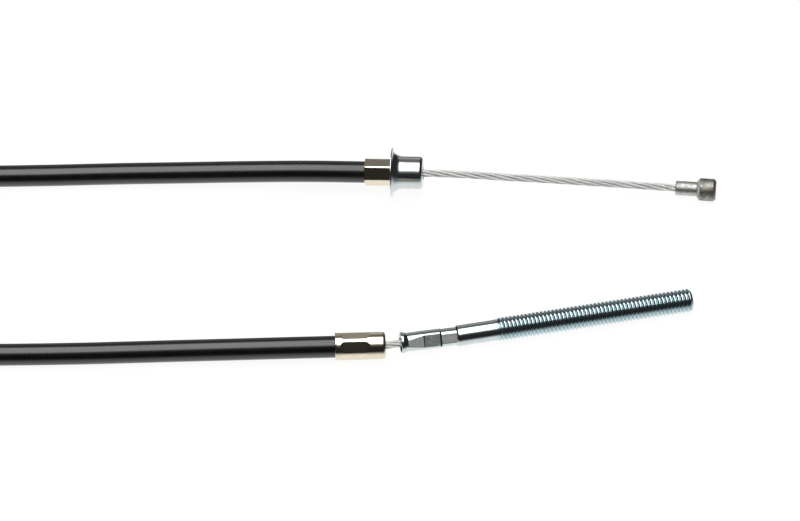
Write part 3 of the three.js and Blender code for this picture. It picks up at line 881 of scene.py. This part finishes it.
FERRULE_RADIUS = 3.47
FERRULE_EDGE = 0.8
FERRULE_EDGE_PIECES = 10
FERRULE_SIDES = 144
FERRULE_BORE = [(1.5, 2.92), (0, 2.92)]
FERRULE_LIP = [(0, 3.41), (0.04, 3.5), (0.1, 3.53), (0.35, 3.53), (0.5, FERRULE_RADIUS)]
FERRULE_HOLE = [(FERRULE_LENGTH, 1.95), (FERRULE_LENGTH - 0.05, 1.9), (FERRULE_LENGTH - 1.4, 1.9)]
CRIMP_FIRST_ROW = 0.6
CRIMP_ROWS = 70
CRIMP_SIDES = 6


def flattened(radius, angle, flat, corner, sides):
    """The radius of a round piece pressed to flats, where flat is their distance from the axis."""
    step = TAU / sides
    off = (angle - math.radians(corner)) % step - step / 2
    return np.minimum(radius, flat / np.cos(off))


class Crimp:
    """Six flats pressed into a ferrule: where they run, how deep, how softly they start and fade."""

    def __init__(self, start, stop, flat, corner, lead, fade):
        self.start = start
        self.stop = stop
        self.flat = flat
        self.corner = corner
        self.lead = lead
        self.fade = fade

    def radius(self, s, r, angle):
        round_radius = np.full(len(angle), float(r))
        if r < FERRULE_RADIUS - FERRULE_EDGE:
            return round_radius
        share = min((s - self.start) / self.lead, (self.stop - s) / self.fade, 1)
        flat = FERRULE_RADIUS - (FERRULE_RADIUS - self.flat) * eased(share)
        return flattened(round_radius, angle, flat, self.corner, CRIMP_SIDES)


UPPER_CRIMP = Crimp(start=-0.5, stop=9.5, flat=3.09, corner=53, lead=0.5, fade=1.6)
LOWER_CRIMP = Crimp(start=1.2, stop=9.2, flat=3.19, corner=48, lead=1.0, fade=1.6)


def ferrule_outline():
    """From the bore out over the lip and the crimped length to the hole in the end."""
    edge = FERRULE_EDGE
    start = FERRULE_LENGTH - edge
    return [
        *FERRULE_BORE, *FERRULE_LIP,
        *stretch(CRIMP_FIRST_ROW, start - FACE_LEAD, CRIMP_ROWS, FERRULE_RADIUS),
        *rounded(start, FERRULE_RADIUS - edge, edge, QUARTER_TURN, 0, FERRULE_EDGE_PIECES),
        *FERRULE_HOLE,
    ]


class BRAKECABLE_OT_ferrules(bpy.types.Operator):
    """Makes the two crimped nickel ferrules"""
    bl_idname = "brakecable.ferrules"
    bl_label = "Ferrules"

    def execute(self, context):
        for name, mouth, direction, crimp in (
            ("upper_ferrule", UPPER_MOUTH, CAP_DIRECTION, UPPER_CRIMP),
            ("lower_ferrule", LOWER_MOUTH, LOWER_DIRECTION, LOWER_CRIMP),
        ):
            rings = revolved(ferrule_outline(), FERRULE_SIDES, crimp.radius)
            builder = Builder().add_rings(rings, loop=True)
            place = turned_frame(mouth, direction)
            piece = builder.make(f"{name}_shell", [warm_nickel()], place, TURNED_SMOOTH_ANGLE)
            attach(piece, "casing")
            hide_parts(name)
        return {"FINISHED"}


# Cap

CAP_SIDES = 160
CAP_BARREL = 4.2
CAP_FLANGE = 6.35
FLANGE_RIM = 0.28
FLANGE_SOFT = 0.06
CAP_TRUMPET = 2.1
CAP_TRUMPET_LENGTH = 2.7
CAP_TRUMPET_PIECES = 20
CAP_HOLE = 1.7
CAP_POCKET = 3.77
CAP_CHAMFER = 0.1
CAP_BARREL_ROWS = (3.4, 5.6, 7)
CAP_ROUND = 0.95
CAP_ROUND_ARC = (85, 5, 12)


def trumpet():
    """The hollow curve from the flange down to the barrel, a quarter of an ellipse."""
    turn = np.radians(np.linspace(0, QUARTER_TURN, CAP_TRUMPET_PIECES + 1))
    return [
        (FLANGE_RIM + CAP_TRUMPET_LENGTH * (1 - math.cos(a)), CAP_BARREL + CAP_TRUMPET * (1 - math.sin(a)))
        for a in turn
    ]


def cap_outline():
    """From the pocket out over the flange, down the trumpet and along the barrel to the hole."""
    end = CAP_LENGTH
    side = CAP_BARREL - CAP_ROUND
    return [
        (CAP_POCKET_DEPTH, CAP_POCKET), (CAP_CHAMFER, CAP_POCKET), (0, CAP_POCKET + CAP_CHAMFER),
        (0, CAP_FLANGE - FLANGE_SOFT), (FLANGE_SOFT, CAP_FLANGE), (FLANGE_RIM - FLANGE_SOFT, CAP_FLANGE),
        *trumpet(), *[(s, CAP_BARREL) for s in CAP_BARREL_ROWS],
        *rounded(end - CAP_ROUND, side, CAP_ROUND, *CAP_ROUND_ARC), (end, side - FACE_LEAD),
        (end, CAP_HOLE + CAP_CHAMFER), (end - CAP_CHAMFER, CAP_HOLE), (CAP_POCKET_DEPTH, CAP_HOLE),
    ]


class BRAKECABLE_OT_cap(bpy.types.Operator):
    """Makes the flanged cap over the upper ferrule"""
    bl_idname = "brakecable.cap"
    bl_label = "Flanged cap"

    def execute(self, context):
        builder = Builder().add_rings(revolved(cap_outline(), CAP_SIDES), loop=True)
        place = turned_frame(spot(CAP_SPOT), CAP_DIRECTION)
        piece = builder.make("cap", [bright_zinc()], place, TURNED_SMOOTH_ANGLE)
        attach(piece, "casing")
        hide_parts("flanged_cap")
        return {"FINISHED"}


# Ropes

ROPE_STEP = 0.45
ROPE_STRANDS = 6
STRAND_WIRES = 6
CORE_SIDES = 10
ROPE_WIRE_SIDES = 6
ROPE_WIRE_SWELL = 1.02


def rope_rings(builder, line, diameter, strand_lay, wire_lay):
    """Adds a rope along the line: a core, and round it six strands of seven wires."""
    strand_diameter = diameter / 3
    wire_radius = strand_diameter / 6
    side, up = carried_axes(line)
    reach = reach_along(line)
    builder.add_rings(tube_rings(line, strand_diameter / 2, CORE_SIDES))
    for strand in range(ROPE_STRANDS):
        turn = TAU * (reach / strand_lay + strand / ROPE_STRANDS)
        spoke = turned_about(turn, side, up)
        across = turned_about(turn + TAU / 4, side, up)
        centre = line + spoke * strand_diameter
        builder.add_rings(tube_rings(centre, strand_diameter / 4, ROPE_WIRE_SIDES))
        for wire in range(STRAND_WIRES):
            spin = -TAU * (reach / wire_lay + wire / STRAND_WIRES) - turn
            own = centre + turned_about(spin, spoke, across) * wire_radius * 2
            builder.add_rings(tube_rings(own, wire_radius * ROPE_WIRE_SWELL, ROPE_WIRE_SIDES))
    return builder


def make_rope(name, line, sizes):
    builder = rope_rings(Builder(), line, sizes.wire_diameter, sizes.strand_lay, sizes.wire_lay)
    return builder.make(name, [rope_steel()], smooth_angle=ROPE_SMOOTH_ANGLE)


def upper_wire_points():
    """From inside the cap to the bottom of the nipple's bore."""
    return [
        along(CAP_SPOT, CAP_DIRECTION, UPPER_WIRE_START),
        along(CAP_SPOT, CAP_DIRECTION, CAP_LENGTH - CAP_END_WALL),
        *[spot(p) for p in UPPER_WIRE],
        spot(NIPPLE_SPOT),
        along(NIPPLE_SPOT, NIPPLE_DIRECTION, NIPPLE_BORE_DEPTH - SEAT_GAP),
    ]


def lower_wire_points():
    """From the tail inside the casing to the bottom of the sleeve's bore."""
    end = SLEEVE_BORE_DEPTH - SEAT_GAP
    depths = (SLEEVE_FLARE_DEPTH, end / 2, end)
    return [
        *[lower_back(back) for back in LOWER_WIRE_BACKS],
        *[spot(p) for p in LOWER_WIRE],
        *[along(SHANK_SPOT, SLEEVE_DIRECTION, depth - SLEEVE_LENGTH) for depth in depths],
    ]


class BRAKECABLE_OT_wires(bpy.types.Operator):
    """Makes the two ends of the stranded inner wire"""
    bl_idname = "brakecable.wires"
    bl_label = "Inner wire"

    def execute(self, context):
        sizes = context.scene.brake_cable
        points = upper_wire_points()
        upper = smooth(points, ROPE_STEP * MM)
        piece = make_rope("rope_upper", upper, sizes)
        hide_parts("inner_wire_upper")
        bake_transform(piece)
        piece = make_rope("rope_lower", smooth(lower_wire_points(), ROPE_STEP * MM), sizes)
        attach(piece, "rod_end")
        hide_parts("inner_wire_lower")
        return {"FINISHED"}


def mark_beyond(piece, place, distance, slot):
    """Gives the faces beyond a distance along the piece another of its finishes."""
    back = place.inverted()
    for face in piece.data.polygons:
        if (back @ face.center).x > distance * MM:
            face.material_index = slot


# Nipple

NIPPLE_SIDES = 96
NECK_RADIUS = 1.85
NECK_LENGTH = 5.6
NECK_ROUND = 0.25
NECK_ROUND_ARC = (170, 90, 4)
NECK_ROWS = 16
NECK_ROWS_SPAN = (0.5, 5.4)
HEAD_RADIUS = 2.9
HEAD_LENGTH = 4.8
HEAD_ROWS = 12
HEAD_ROWS_SPAN = (6.35, 9.45)
HEAD_ROUND = 0.9
HEAD_ROUND_ARC = (88, 4, 8)
NIPPLE_END = NECK_LENGTH + HEAD_LENGTH
NIPPLE_BORE = [(0.5, 1.08), (0, 1.12), (0, NECK_RADIUS - NECK_ROUND)]
NIPPLE_SHOULDER = [(5.55, 1.91), (NECK_LENGTH, 2.05), (NECK_LENGTH, 2.15), (5.65, 2.22), (6.25, 2.87)]
NIPPLE_DIMPLE = [(NIPPLE_END, 1), (NIPPLE_END - 0.05, 0.02)]
# From here to the head, over the chamfered shoulder, the finish is paler: a painted highlight.
HIGHLIGHT_START = 5.62
DARK_SKIN_START = 6.28
PAINTED_HIGHLIGHT, DARK = 1, 2

# Unevenness of the cast skin: height, and its waves as lobes round, turn along, start and share
CAST_HEIGHT = 0.025
CAST_WAVES = [(3, 1.7, 0, 0.5), (7, -2.3, 1, 0.3), (11, 5.1, 0, 0.2)]
CAST_SKIN_FROM = 1.4


def cast_shape(s, r, angle):
    """The outside of a cast piece, slightly uneven. Its bore and the middle of its end stay true."""
    if r < CAST_SKIN_FROM:
        return np.full(len(angle), float(r))
    waves = [share * np.sin(lobes * angle + turn * s + start) for lobes, turn, start, share in CAST_WAVES]
    return r + CAST_HEIGHT * sum(waves)


def nipple_outline():
    """From the bore out over the neck and the chamfered head to the middle of its end."""
    side = HEAD_RADIUS - HEAD_ROUND
    return [
        *NIPPLE_BORE, *rounded(NECK_ROUND, NECK_RADIUS - NECK_ROUND, NECK_ROUND, *NECK_ROUND_ARC),
        *stretch(*NECK_ROWS_SPAN, NECK_ROWS, NECK_RADIUS), *NIPPLE_SHOULDER,
        *stretch(*HEAD_ROWS_SPAN, HEAD_ROWS, HEAD_RADIUS),
        *rounded(NIPPLE_END - HEAD_ROUND, side, HEAD_ROUND, *HEAD_ROUND_ARC),
        (NIPPLE_END, side - FACE_LEAD), *NIPPLE_DIMPLE,
    ]


class BRAKECABLE_OT_nipple(bpy.types.Operator):
    """Makes the cast nipple on the lever end of the wire"""
    bl_idname = "brakecable.nipple"
    bl_label = "Nipple"

    def execute(self, context):
        builder = Builder().add_rings(revolved(nipple_outline(), NIPPLE_SIDES, cast_shape))
        place = turned_frame(spot(NIPPLE_SPOT), NIPPLE_DIRECTION)
        finishes = [cast_zinc(), chamfer_painted_highlight(), dark_cast_zinc()]
        piece = builder.make("nipple_cast", finishes, place, TURNED_SMOOTH_ANGLE)
        # The chamfered shoulder gets the paler finish, a painted highlight.
        mark_beyond(piece, place, HIGHLIGHT_START, PAINTED_HIGHLIGHT)
        mark_beyond(piece, place, DARK_SKIN_START, DARK)
        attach(piece, "nipple_end")
        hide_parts("nipple")
        return {"FINISHED"}


# Rod: sleeve

SLEEVE_SIDES = 96
SLEEVE_RADIUS = 2.42
SLEEVE_END_RADIUS = 2.3
MOUTH_OUTLINE = [
    (3.2, 1.15), (2.4, 1.3), (0.3, 2.2), (0, 2.38), (0, 2.6), (0.05, 2.67), (0.15, 2.7), (0.5, 2.68),
]
BORE_RADIUS_LIMIT = 1.5
WAIST_RADIUS = 2.36
WAIST_START, WAIST_LENGTH = 0.5, 1.3
WAIST_FALL = 0.32
WAIST_STEP = 0.2
TAPER_START, TAPER_LENGTH = 1.9, 4.1
TAPER_GROWTH = 0.09
TAPER_STEP = 0.3

# Press marks: start and stop along the sleeve, and the flat's distance from the axis
PRESS_ANGLE = 146
PRESS_TAPER = (1.5, 6.0)
PRESS_TAPER_TO_AXIS = (2.3, 1.88)
PRESS_A = (6.0, 9.9, 1.84)
GROOVE = (9.9, 10.35, 1.5)
PRESS_B = (10.35, 14.2, 1.95)
PRESS_ROWS = 8
PRESS_ROW_GAP = 0.001
PRESS_FACING = 0.985
UNPRESSED = 9.0
# The groove's slot holds a near-black finish, painted shade in the recess.
DULL, PALE, GROOVE_SHADE, THREAD_FINISH = 1, 2, 3, 4


def press_depth(s):
    """Distance of the press flats from the axis, along the sleeve from its mouth."""
    start, stop = PRESS_TAPER
    if start <= s < stop:
        outer, inner = PRESS_TAPER_TO_AXIS
        return outer + (inner - outer) * (s - start) / (stop - start)
    for start, stop, flat in (PRESS_A, GROOVE, PRESS_B):
        if start <= s < stop:
            return flat
    return UNPRESSED


def sleeve_shape(s, r, angle):
    round_radius = np.full(len(angle), float(r))
    if r < BORE_RADIUS_LIMIT:
        return round_radius
    return flattened(round_radius, angle, press_depth(s), PRESS_ANGLE - QUARTER_TURN, 2)


def sleeve_outline():
    """From the bore over the flared mouth, the waist and the pressed length to the shank."""
    waist_stops = np.arange(WAIST_START + WAIST_STEP, TAPER_START + WAIST_STEP / 2, WAIST_STEP)
    taper_stops = np.arange(TAPER_START + WAIST_STEP, PRESS_A[0] - TAPER_STEP / 2, TAPER_STEP)
    waist = [
        (s, WAIST_RADIUS + WAIST_FALL * (1 - eased((s - WAIST_START) / WAIST_LENGTH)))
        for s in waist_stops
    ]
    taper = [(s, WAIST_RADIUS + TAPER_GROWTH * (s - TAPER_START) / TAPER_LENGTH) for s in taper_stops]
    pressed = []
    for (start, stop, _), radius in (
        (PRESS_A, SLEEVE_RADIUS), (GROOVE, SLEEVE_RADIUS), (PRESS_B, SLEEVE_END_RADIUS),
    ):
        pressed += stretch(start + PRESS_ROW_GAP, stop - PRESS_ROW_GAP, PRESS_ROWS, radius)
    return MOUTH_OUTLINE + waist + taper + pressed + SHANK_STEP


# Rod: shank and thread

ROD_SIDES = 60
SHANK_RADIUS = 2.65
SHANK_LENGTH = 10.4
SHANK_ROWS = (0.3, 9.2)
SHANK_STEP = [(14.25, 2.4), (14.5, SHANK_RADIUS - 0.06), (14.7, SHANK_RADIUS), (15.2, SHANK_RADIUS)]
THREAD_RADIUS = 2.975
THREAD_LENGTH = 50.6
THREAD_DEPTH = 0.52
THREAD_LEAD = 0.6
THREAD_RUN_OUT = 1.6
THREAD_ROWS = 14
HALF_PITCH = 0.5
CREST_SHARE = 0.2
CREST_CROWN = 0.015
ROD_END_CHAMFER = 0.7
ROD_END_RADII = (2.255, 0.9)


def thread_radius(phase):
    """Radius of the thread at a share of the pitch past a crest, with a rounded crest."""
    away = np.abs((phase + HALF_PITCH) % 1 - HALF_PITCH)
    flank = np.clip((away - CREST_SHARE) / (HALF_PITCH - CREST_SHARE), 0, 1)
    crown = CREST_CROWN * np.minimum(away / CREST_SHARE, 1) ** 2
    return THREAD_RADIUS - (THREAD_DEPTH - CREST_CROWN) * flank - crown


def thread_rings(pitch):
    """Rings of shank and thread, from the sleeve to the rod's end."""
    start = SHANK_LENGTH - THREAD_LEAD
    end = SHANK_LENGTH + THREAD_LENGTH
    angle = np.arange(ROD_SIDES) * TAU / ROD_SIDES
    shank = revolved([(s, SHANK_RADIUS) for s in SHANK_ROWS], ROD_SIDES)
    rings = []
    for s in np.arange(start, end, pitch / THREAD_ROWS):
        grow = eased((s - start) / THREAD_RUN_OUT)
        r = SHANK_RADIUS + (thread_radius(s / pitch - angle / TAU) - SHANK_RADIUS) * grow
        r = np.minimum(r, THREAD_RADIUS - max(0, s - (end - ROD_END_CHAMFER)))
        rings.append(np.stack([np.full(ROD_SIDES, s), r * np.cos(angle), r * np.sin(angle)], 1) * MM)
    face = revolved([(end, radius) for radius in ROD_END_RADII], ROD_SIDES)
    return np.vstack([shank, rings, face])


def mark_pressed(piece, sleeve):
    """Gives the faces that the press flattened their dull finishes, and paints shade on the groove's floor
    with a near-black one.
    """
    back = sleeve.inverted()
    press = math.radians(PRESS_ANGLE)
    facing = sleeve.to_3x3() @ Vector((0, math.cos(press), math.sin(press)))
    for face in piece.data.polygons:
        at = (back @ face.center / MM).x
        if not PRESS_TAPER[0] < at < PRESS_B[1] or abs(face.normal.dot(facing)) < PRESS_FACING:
            continue
        if PRESS_A[0] < at < PRESS_A[1]:
            face.material_index = DULL
        # The groove's floor is painted dark as shade.
        elif GROOVE[0] < at < GROOVE[1]:
            face.material_index = GROOVE_SHADE
        else:
            face.material_index = PALE


class BRAKECABLE_OT_rod(bpy.types.Operator):
    """Makes the adjusting rod: pressed sleeve, shank and rolled thread"""
    bl_idname = "brakecable.rod"
    bl_label = "Adjusting rod"

    def execute(self, context):
        shank = turned_frame(spot(SHANK_SPOT), SHANK_DIRECTION)
        sleeve = turned_frame(along(SHANK_SPOT, SLEEVE_DIRECTION, -SLEEVE_LENGTH), SLEEVE_DIRECTION)
        rings = revolved(sleeve_outline(), SLEEVE_SIDES, sleeve_shape)
        turn = np.array(shank.inverted() @ sleeve)
        builder = Builder()
        builder.add_rings(rings @ turn[:3, :3].T + turn[:3, 3], cap_start=False)
        builder.add_rings(thread_rings(context.scene.brake_cable.thread_pitch / MM))
        finishes = [blue_zinc(), pressed_zinc(), pressed_pale_zinc(), groove_painted_shade(), teal_zinc()]
        piece = builder.make("adjusting_rod", finishes, shank, TURNED_SMOOTH_ANGLE)
        mark_pressed(piece, sleeve)
        mark_beyond(piece, shank, SHANK_LENGTH - THREAD_LEAD, THREAD_FINISH)
        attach(piece, "rod_end")
        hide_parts("threaded_rod")
        return {"FINISHED"}


# Inside of the casing


class BRAKECABLE_OT_inner(bpy.types.Operator):
    """Gives the spiral and the liner inside the casing their finish"""
    bl_idname = "brakecable.inner"
    bl_label = "Spiral and liner"

    def execute(self, context):
        for name, material in (("spiral", spiral_steel()), ("liner", liner_plastic())):
            for place in ("upper", "lower"):
                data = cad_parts[f"{name}_{place}_run"].data
                data.materials.clear()
                data.materials.append(material)
        return {"FINISHED"}


class BRAKECABLE_PT_panel(bpy.types.Panel):
    """Lists the sizes and the pieces of the brake cable"""
    bl_idname = "BRAKECABLE_PT_panel"
    bl_label = "Brake cable"
    bl_space_type = "VIEW_3D"
    bl_region_type = "UI"
    bl_category = "Brake cable"

    def draw(self, context):
        sizes = context.scene.brake_cable
        for name in CableSizes.__annotations__:
            self.layout.prop(sizes, name)
        for operator in OPERATORS:
            self.layout.operator(operator.bl_idname)


OPERATORS = (
    BRAKECABLE_OT_stage,
    BRAKECABLE_OT_ferrules,
    BRAKECABLE_OT_cap,
    BRAKECABLE_OT_nipple,
    BRAKECABLE_OT_casing,
    BRAKECABLE_OT_wires,
    BRAKECABLE_OT_ties,
    BRAKECABLE_OT_rod,
    BRAKECABLE_OT_inner,
)
CLASSES = (CableSizes, *OPERATORS, BRAKECABLE_PT_panel)


def register():
    for made in CLASSES:
        bpy.utils.register_class(made)
    bpy.types.Scene.brake_cable = bpy.props.PointerProperty(type=CableSizes)


def unregister():
    del bpy.types.Scene.brake_cable
    for made in reversed(CLASSES):
        bpy.utils.unregister_class(made)


def main():
    register()
    bpy.ops.brakecable.stage()
    bpy.ops.brakecable.ferrules()
    bpy.ops.brakecable.cap()
    bpy.ops.brakecable.nipple()
    bpy.ops.brakecable.casing()
    bpy.ops.brakecable.wires()
    bpy.ops.brakecable.ties()
    bpy.ops.brakecable.rod()
    bpy.ops.brakecable.inner()


if __name__ == "__main__":
    main()
